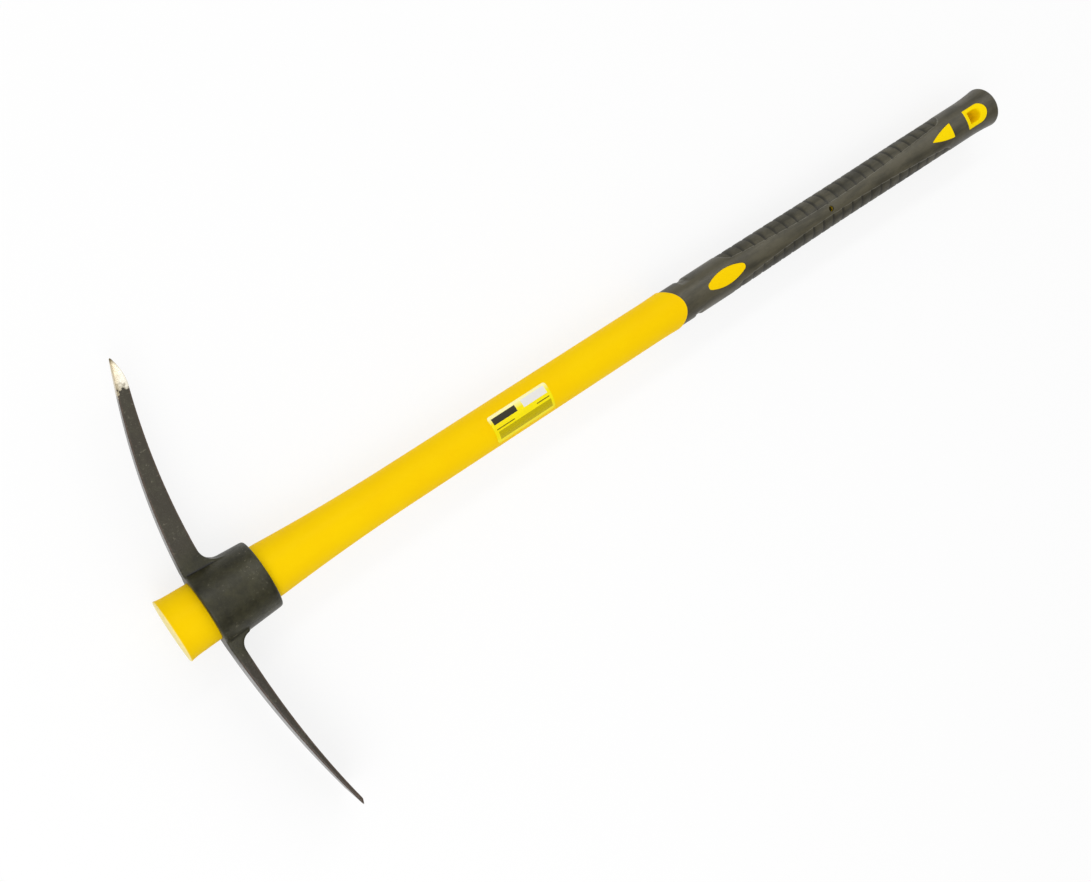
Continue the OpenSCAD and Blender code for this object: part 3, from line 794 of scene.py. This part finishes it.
# tree that sinks the side panels and presses the ribs' saw-tooth grooves into them
def ribTree(inputs):
    tree = bpy.data.node_groups.new("gripRibs", "GeometryNodeTree")
    face = tree.interface
    face.new_socket("Geometry", in_out="INPUT", socket_type="NodeSocketGeometry")
    face.new_socket("Geometry", in_out="OUTPUT", socket_type="NodeSocketGeometry")
    for name in inputs:
        face.new_socket(name, in_out="INPUT", socket_type="NodeSocketFloat")
    face.new_socket("Material", in_out="INPUT", socket_type="NodeSocketMaterial")
    source = tree.nodes.new("NodeGroupInput").outputs
    sink = tree.nodes.new("NodeGroupOutput").inputs

    def do(how, *values):
        return calc(tree, how, *values)

    where = tree.nodes.new("GeometryNodeInputPosition").outputs["Position"]
    x, y, z = splitPlace(tree, where)
    radius = axisDistance(tree, y, z)
    onSkin = do("GREATER_THAN", radius, source["Skin Radius"])
    # half angle of the smooth band: narrowest at the pin hole, and closed round the panels' two ends
    toHead = mapTo(tree, x, source["Panel Peak"], source["First Rib"])
    toButt = mapTo(tree, x, source["Panel Peak"], source["Last Rib"])
    away = do("MAXIMUM", toHead, toButt)
    away = do("MULTIPLY", away, away)
    band = mapTo(tree, away, 0.0, 1.0, source["Band Angle"], source["Band End Angle"])
    fromHead = mapTo(tree, x, source["Panel From"], source["First Rib"])
    fromButt = mapTo(tree, x, source["Panel To"], source["Last Rib"])
    left = do("SUBTRACT", 1.0, do("MULTIPLY", fromHead, fromButt))
    closing = do("SQRT", do("SUBTRACT", 1.0, do("MULTIPLY", left, left)))
    border = do("ARCCOSINE", do("MULTIPLY", do("COSINE", band), closing))
    tilt = do("ARCCOSINE", do("MINIMUM", do("DIVIDE", do("ABSOLUTE", z), radius), 1.0))
    inside = mapTo(tree, tilt, border, do("ADD", border, source["Panel Wall"]), kind="SMOOTHSTEP")
    deep = mapTo(tree, tilt, border, do("ADD", border, source["Deepens"]), source["Shallow"], 1.0)
    # saw tooth along the handle
    lead = do("DIVIDE", source["Steep"], source["Pitch"])
    turn = do("ADD", do("DIVIDE", do("SUBTRACT", x, source["First Rib"]), source["Pitch"]), lead)
    last = do("DIVIDE", do("SUBTRACT", source["Last Rib"], source["First Rib"]), source["Pitch"])
    turn = do("MINIMUM", do("MAXIMUM", do("FLOOR", turn), 0.0), do("ROUND", last))
    past = do("SUBTRACT", do("SUBTRACT", x, source["First Rib"]), do("MULTIPLY", turn, source["Pitch"]))
    wall = mapTo(tree, past, do("MULTIPLY", source["Steep"], -1.0), 0.0)
    slope = mapTo(tree, past, 0.0, source["Slope"], 1.0, 0.0)
    tooth = do("MULTIPLY", do("MULTIPLY", wall, slope), deep)
    panel = do("MULTIPLY", inside, onSkin)
    groove = do("MULTIPLY", tooth, source["Depth"])
    down = do("MULTIPLY", panel, do("ADD", source["Panel Sink"], groove))
    # one shallow notch in each side next to the collar
    off = do("ABSOLUTE", do("SUBTRACT", x, source["Notch At"]))
    flat = do("SUBTRACT", source["Notch Half"], source["Notch Ramp"])
    notch = mapTo(tree, off, source["Notch Half"], flat, 0.0, source["Notch Depth"], "SMOOTHSTEP")
    toSide = do("ADD", source["Notch Angle"], source["Notch Fade"])
    notch = do("MULTIPLY", notch, mapTo(tree, tilt, source["Notch Angle"], toSide, kind="SMOOTHSTEP"))
    down = do("ADD", down, do("MULTIPLY", notch, onSkin))
    scale = do("DIVIDE", do("SUBTRACT", radius, down), do("MAXIMUM", radius, mergeWithin))
    merge = tree.nodes.new("ShaderNodeCombineXYZ")
    tree.links.new(x, merge.inputs["X"])
    tree.links.new(do("MULTIPLY", y, scale), merge.inputs["Y"])
    tree.links.new(do("MULTIPLY", z, scale), merge.inputs["Z"])
    flow = source["Geometry"]
    for name, value in (("grooveDepth", do("MULTIPLY", tooth, panel)), ("sidePanel", panel)):
        keep = tree.nodes.new("GeometryNodeStoreNamedAttribute")
        keep.inputs["Name"].default_value = name
        tree.links.new(flow, keep.inputs["Geometry"])
        tree.links.new(value, keep.inputs["Value"])
        flow = keep.outputs["Geometry"]
    move = tree.nodes.new("GeometryNodeSetPosition")
    tree.links.new(flow, move.inputs["Geometry"])
    tree.links.new(merge.outputs["Vector"], move.inputs["Position"])
    real = tree.nodes.new("GeometryNodeRealizeInstances")
    tree.links.new(move.outputs["Geometry"], real.inputs["Geometry"])
    paint = tree.nodes.new("GeometryNodeSetMaterial")
    tree.links.new(real.outputs["Geometry"], paint.inputs["Geometry"])
    tree.links.new(source["Material"], paint.inputs["Material"])
    tree.links.new(paint.outputs["Geometry"], sink["Geometry"])
    return tree


def setInputs(mod, tree, values):
    for item in tree.interface.items_tree:
        if item.item_type == "SOCKET" and item.in_out == "INPUT" and item.name in values:
            mod[item.identifier] = values[item.name]


def makeGrip():
    g = grip
    h = handle
    # lines along the handle: close at each groove, easy elsewhere
    places = spread(h["gripStart"], g["ribFirst"] - g["ribLead"], g["startSteps"])
    offsets = (-1.1, -0.7, -0.35, 0.0, 0.5, 1.1, 1.9, 2.7, 3.5, 4.4, 6.2, 8.8)
    for i in range(g["ribs"]):
        places += [g["ribFirst"] + i * g["ribPitch"] + d for d in offsets]
    places += spread(places[-1] + g["ribTail"], h["length"] - g["buttEdge"], g["endSteps"])
    bore = h["tang"] + g["skinGap"]
    boreEnd = h["tangEnd"] + g["skinGap"]
    profile = [(h["gripStart"], bore)] + gripProfile(places, 0)
    # the butt's face, and back along the axis to the floor of the bore
    axis = g["axisGap"]
    profile += [(h["length"], g["capRadius"]), (h["length"], axis), (boreEnd, axis), (boreEnd, bore)]
    piece = lathe("ribbedGrip", profile, g["turns"], hollow=True)
    tools = [prism("window%d" % i, outline) for i, outline in enumerate(windowOutlines(g["gap"]))]
    tools.append(prism("collarCut", collarOutline(g["gap"])))
    tools.append(prism("pinHole", pinOutline()))
    carve(piece, "DIFFERENCE", *tools)
    lengths = {
        "First Rib": g["ribFirst"], "Last Rib": g["ribLast"], "Pitch": g["ribPitch"],
        "Depth": g["ribDepth"], "Steep": g["ribSteep"], "Slope": g["ribSlope"],
        "Panel From": g["panelFrom"], "Panel Peak": h["pinAt"], "Panel To": g["panelTo"],
        "Panel Sink": g["panelSink"], "Skin Radius": g["waist"] - g["skinBelow"],
        "Notch At": g["notchAt"], "Notch Half": g["notchHalf"], "Notch Ramp": g["notchRamp"],
        "Notch Depth": g["notchDepth"],
    }
    angles = {
        "Band Angle": g["bandAngle"], "Band End Angle": g["bandEndAngle"], "Panel Wall": g["panelWall"],
        "Notch Angle": g["notchAngle"], "Notch Fade": g["notchFade"],
    }
    inputs = {name: length * mm for name, length in lengths.items()}
    inputs |= {name: math.radians(angle) for name, angle in angles.items()}
    inputs |= {"Shallow": g["ribShallow"], "Deepens": g["ribDeepens"]}
    tree = ribTree(inputs)
    mod = piece.modifiers.new("ribs", "NODES")
    mod.node_group = tree
    setInputs(mod, tree, inputs | {"Material": finishes["grip"]})
    bake(piece)
    smooth(piece, g["sharp"])
    return finishPiece(piece, "handle", "grip", finishes["grip"])


gripPiece = makeGrip()
print("grip ribbed", len(gripPiece.data.polygons))


def makeLabel():
    f = label
    length = f["to"] - f["from"]
    along = spread(0, f["corner"], roundSteps)
    along += spread(f["corner"], length - f["corner"], f["alongSteps"])[1:]
    along += [length - x for x in spread(f["corner"], 0, roundSteps)[1:]]
    rings = []
    for x in along:
        left = f["corner"] - min(x, length - x, f["corner"])
        half = f["width"] / 2 - f["corner"] + math.sqrt(f["corner"] ** 2 - left ** 2)
        ring = []
        for radius, side in ((f["outer"], 1), (f["inner"], -1)):
            for across in spread(-side * half, side * half, f["acrossSteps"]):
                a = math.radians(f["turn"]) + math.asin(across / f["outer"])
                ring.append(((f["from"] + x) * mm, radius * mm * math.sin(a), radius * mm * math.cos(a)))
        rings.append(ring)
    piece = skin("labelFilm", rings)
    smooth(piece, f["sharp"])
    return finishPiece(piece, "handle", "label", finishes["label"])


labelPiece = makeLabel()
print("label stuck on", len(labelPiece.data.polygons))


# forged head: eye, point and chisel, in mm and degrees
head = {
    "back": 27.0, "front": 77.5, "backRadius": 31.47, "wall": 5.8, "edge": 1.6, "fit": 0.3, "depth": 8.0,
    "corner": 0.8, "cornerParts": 3, "boreLead": 2.0,
    "grain": 0.68, "rounds": 10, "blendFrom": 38.0, "blendTo": 54.0, "rootPull": 0.5, "tinePull": 0.14,
    "endRun": 16.0, "endShort": 0.05,
    "turns": 144, "eyeSteps": 24, "filletSteps": 16, "tineSteps": 44, "tipSteps": 8, "cornerSteps": 5,
    "sharp": 50,
}
pointTine = {
    "reach": 192.0, "drop": 39.5, "lean": 5.1, "root": 18.2, "end": 9.8, "rootWidth": 20.0,
    "endWidth": 13.0, "tip": 24.0, "tipSize": 1.2, "tipBulge": 1.7, "fillet": 14.0, "side": 1,
    "thinning": 1.0,
}
chiselTine = {
    "reach": 185.0, "drop": 19.5, "lean": 2.1, "root": 9.4, "end": 3.1, "rootWidth": 34.0,
    "endWidth": 52.0, "bevel": 4.0, "land": 0.6, "fillet": 10.0, "side": -1, "thinning": 1.3,
}
head["frontRadius"] = taperRadius(head["front"]) + head["fit"] + head["wall"]


# back of a tine at a distance from the axis: it leaves the eye with a lean and bends away
def backPlace(y, t):
    out = max(0.0, y - head["backRadius"])
    full = t["reach"] - head["backRadius"]
    leaned = full * math.tan(math.radians(t["lean"]))
    return head["back"] + leaned * out / full + (t["drop"] - leaned) * (out / full) ** 2


# extra thickness of a tine in the fillet that runs out of the eye
def filletExtra(y, radius):
    left = radius - min(radius, max(0.0, y - head["frontRadius"]))
    return radius - math.sqrt(radius ** 2 - left ** 2)


# a rounded rectangle across a tine
def tineSection(y, back, front, width, side):
    corner = min(head["corner"], (front - back) / head["cornerParts"])
    ring = []
    for q in range(4):
        cx = front - corner if q in (0, 3) else back + corner
        cz = (width / 2 - corner) * (1 if q < 2 else -1)
        bow = arc(0, 0, corner, 90 * q, 90 * q + 90, head["cornerSteps"])
        ring += [((cx + x) * mm, side * y * mm, (cz + z) * mm) for x, z in bow]
    return ring


# sections of a tine from inside the eye to where its end is ground: close in the fillet, then even
def tineBody(t, end):
    toe = head["frontRadius"]
    places = [head["backRadius"] - head["depth"]] + spread(toe, toe + t["fillet"], head["filletSteps"])
    places += spread(toe + t["fillet"], end, head["tineSteps"])[1:]
    rings = []
    for y in places:
        s = share(y, head["backRadius"], end)
        thick = mix(t["end"], t["root"], (1 - s) ** t["thinning"])
        back = backPlace(y, t)
        front = back + thick + filletExtra(y, t["fillet"])
        rings.append(tineSection(y, back, front, mix(t["rootWidth"], t["endWidth"], s), t["side"]))
    return rings


def makePoint(t):
    tipStart = t["reach"] - t["tip"]
    rings = tineBody(t, tipStart)
    apex = backPlace(t["reach"], t) - t["tipSize"] / 2
    for s in spread(0, 1, head["tipSteps"])[1:]:
        bulge = s ** t["tipBulge"]
        back = mix(backPlace(tipStart, t), apex, s)
        thick = mix(t["end"], t["tipSize"], bulge)
        width = mix(t["endWidth"], t["tipSize"], bulge)
        rings.append(tineSection(mix(tipStart, t["reach"], s), back, back + thick, width, t["side"]))
    return skin("pointTine", rings)


def makeChisel(t):
    rings = tineBody(t, t["reach"] - t["bevel"])
    edge = backPlace(t["reach"], t)
    rings.append(tineSection(t["reach"], edge, edge + t["land"], t["endWidth"], t["side"]))
    return skin("chiselTine", rings)


def readMesh(mesh):
    places = np.empty(len(mesh.vertices) * 3)
    ends = np.empty(len(mesh.edges) * 2, dtype=np.int64)
    mesh.vertices.foreach_get("co", places)
    mesh.edges.foreach_get("vertices", ends)
    return places.reshape(-1, 3), ends.reshape(-1, 2)


# draws each point towards the mean of its neighbours: freely round the roots, a little elsewhere
def forge(obj):
    places, ends = readMesh(obj.data)
    a, b = ends.T
    count = len(places)
    near = np.bincount(ends.ravel(), minlength=count)[:, None]
    fromAxis = np.abs(places[:, 1:2]) / mm
    out = np.clip((fromAxis - head["blendFrom"]) / (head["blendTo"] - head["blendFrom"]), 0, 1)
    pull = mix(head["rootPull"], head["tinePull"], out)
    for i in range(head["rounds"]):
        sums = [np.bincount(a, p[b], count) + np.bincount(b, p[a], count) for p in places.T]
        places += pull * (np.stack(sums, axis=1) / near - places)
    # the ends of the tines go back to their full reach
    run = head["endRun"]
    for t in (pointTine, chiselTine):
        y = t["side"] * places[:, 1]
        start = (t["reach"] - run) * mm
        past = y > start
        y[past] = start + (y[past] - start) * (run - head["endShort"]) * mm / (y.max() - start)
        places[:, 1] = t["side"] * y
    obj.data.vertices.foreach_set("co", places.ravel())
    obj.data.update()


# mean bend of the surface at each point, per metre: plus on edges, minus in creases
def markBend(obj):
    mesh = obj.data
    places, ends = readMesh(mesh)
    normals = np.empty(len(places) * 3)
    mesh.vertices.foreach_get("normal", normals)
    normals = normals.reshape(-1, 3)
    a, b = ends.T
    step = places[b] - places[a]
    # edges shorter than this, in metres, count as this long
    shortest = 1e-6
    square = np.maximum((step ** 2).sum(axis=1), shortest ** 2)
    total = np.bincount(a, -2 * (step * normals[a]).sum(axis=1) / square, len(places))
    total += np.bincount(b, 2 * (step * normals[b]).sum(axis=1) / square, len(places))
    near = np.bincount(ends.ravel(), minlength=len(places))
    layer = mesh.attributes.new("bend", "FLOAT", "POINT")
    layer.data.foreach_set("value", total / np.maximum(near, 1))


def makeHead():
    h = head
    e = h["edge"]
    backEdge = arc(h["back"] + e, h["backRadius"] - e, e, 180, 90, roundSteps)
    frontEdge = arc(h["front"] - e, h["frontRadius"] - e, e, 90, 0, roundSteps)
    between = spread(h["back"] + e, h["front"] - e, h["eyeSteps"])[1:-1]
    along = [(x, share(x, h["back"], h["front"])) for x in between]
    side = [(x, mix(h["backRadius"], h["frontRadius"], s)) for x, s in along]
    eye = lathe("forgedHead", backEdge + side + frontEdge, h["turns"])
    carve(eye, "UNION", makePoint(pointTine), makeChisel(chiselTine))
    # forged blend: an even skin, worked so that the roots run into the eye
    evenSkin = eye.modifiers.new("forged", "REMESH")
    evenSkin.mode = "VOXEL"
    evenSkin.voxel_size = h["grain"] * mm
    bake(eye)
    forge(eye)
    ends = (h["back"] - h["boreLead"], h["front"] + h["boreLead"])
    carve(eye, "DIFFERENCE", lathe("bore", [(x, taperRadius(x) + h["fit"]) for x in ends], h["turns"]))
    smooth(eye, h["sharp"])
    markBend(eye)
    return finishPiece(eye, "head", "pick_head", finishes["head"])


headPiece = makeHead()
print("head forged", len(headPiece.data.polygons))

nodes["core_rod"].data.materials.clear()
nodes["core_rod"].data.materials.append(finishes["core"])


# studio: pale floor under the head, a long soft light on the point's side, a soft fill on the chisel's side,
# and an even room whose reflection changes in bands from the chisel's side to the point's
studio = {
    "floorColor": (0.97, 0.97, 0.97), "floorGlow": 0.8, "glow": 1.0, "floorSize": 8.0,
    "floorGap": 0.0002, "room": 0.64,
    "sheen": [(0.0, 0.6), (0.2, 0.05), (0.36, 0.4), (0.48, 0.9), (0.6, 1.0), (0.75, 0.9), (1.0, 0.05)],
    "sheenLevel": 1.35,
    "lights": [
        {"name": "softKey", "place": (1.3, 1.55, 1.85), "aim": (1.3, 0.0, 0.0),
         "size": (3.4, 0.3), "power": 15.0},
        {"name": "softFill", "place": (-0.6, -0.6, 1.6), "aim": (0.5, 0.0, 0.0),
         "size": (1.3, 1.3), "power": 12.0},
    ],
}


def makeFloor(s):
    size = s["floorSize"]
    low = cadLow[2] - s["floorGap"]
    corners = [(-size, -size, low), (size, -size, low), (size, size, low), (-size, size, low)]
    floor = meshFrom("paleFloor", corners, [(0, 1, 2, 3)])
    mat = bpy.data.materials.new("paleFloor")
    mat.use_nodes = True
    tree = mat.node_tree
    tree.nodes.clear()
    out = tree.nodes.new("ShaderNodeOutputMaterial")
    matt = tree.nodes.new("ShaderNodeBsdfDiffuse")
    matt.inputs["Color"].default_value = s["floorColor"] + (1,)
    glow = tree.nodes.new("ShaderNodeEmission")
    glow.inputs["Strength"].default_value = s["glow"]
    rays = tree.nodes.new("ShaderNodeLightPath").outputs
    seen = calc(tree, "MAXIMUM", rays["Is Glossy Ray"], rays["Is Transmission Ray"])
    seen = calc(tree, "MAXIMUM", rays["Is Camera Ray"], seen)
    both = tree.nodes.new("ShaderNodeMixShader")
    tree.links.new(calc(tree, "MULTIPLY", seen, s["floorGlow"]), both.inputs["Fac"])
    tree.links.new(matt.outputs["BSDF"], both.inputs[1])
    tree.links.new(glow.outputs["Emission"], both.inputs[2])
    tree.links.new(both.outputs["Shader"], out.inputs["Surface"])
    floor.data.materials.append(mat)


def makeRoom(s):
    world = bpy.data.worlds.new("room")
    scene.world = world
    world.use_nodes = True
    tree = world.node_tree
    x, y, z = splitPlace(tree, tree.nodes.new("ShaderNodeTexCoord").outputs["Generated"])
    rays = tree.nodes.new("ShaderNodeLightPath").outputs
    turn = mapTo(tree, calc(tree, "ARCTAN2", y, z), -math.pi / 2, math.pi / 2)
    sheen = ramp(tree, turn, *[(at, (level, level, level)) for at, level in s["sheen"]])
    sheen = calc(tree, "MULTIPLY", sheen, s["sheenLevel"])
    room = mapTo(tree, rays["Is Glossy Ray"], 0, 1, s["room"], sheen)
    back = tree.nodes["Background"]
    tree.links.new(mapTo(tree, rays["Is Camera Ray"], 0, 1, room, 1.0), back.inputs["Strength"])
    back.inputs["Color"].default_value = (1, 1, 1, 1)
    for lamp in s["lights"]:
        data = bpy.data.lights.new(lamp["name"], "AREA")
        data.shape = "RECTANGLE"
        data.size, data.size_y = lamp["size"]
        data.energy = lamp["power"]
        light = bpy.data.objects.new(lamp["name"], data)
        light.location = lamp["place"]
        look = Vector(lamp["aim"]) - Vector(lamp["place"])
        light.rotation_euler = look.to_track_quat("-Z", "Y").to_euler()
        scene.collection.objects.link(light)
    scene.view_settings.view_transform = "Standard"


makeFloor(studio)
makeRoom(studio)
print("studio lit")
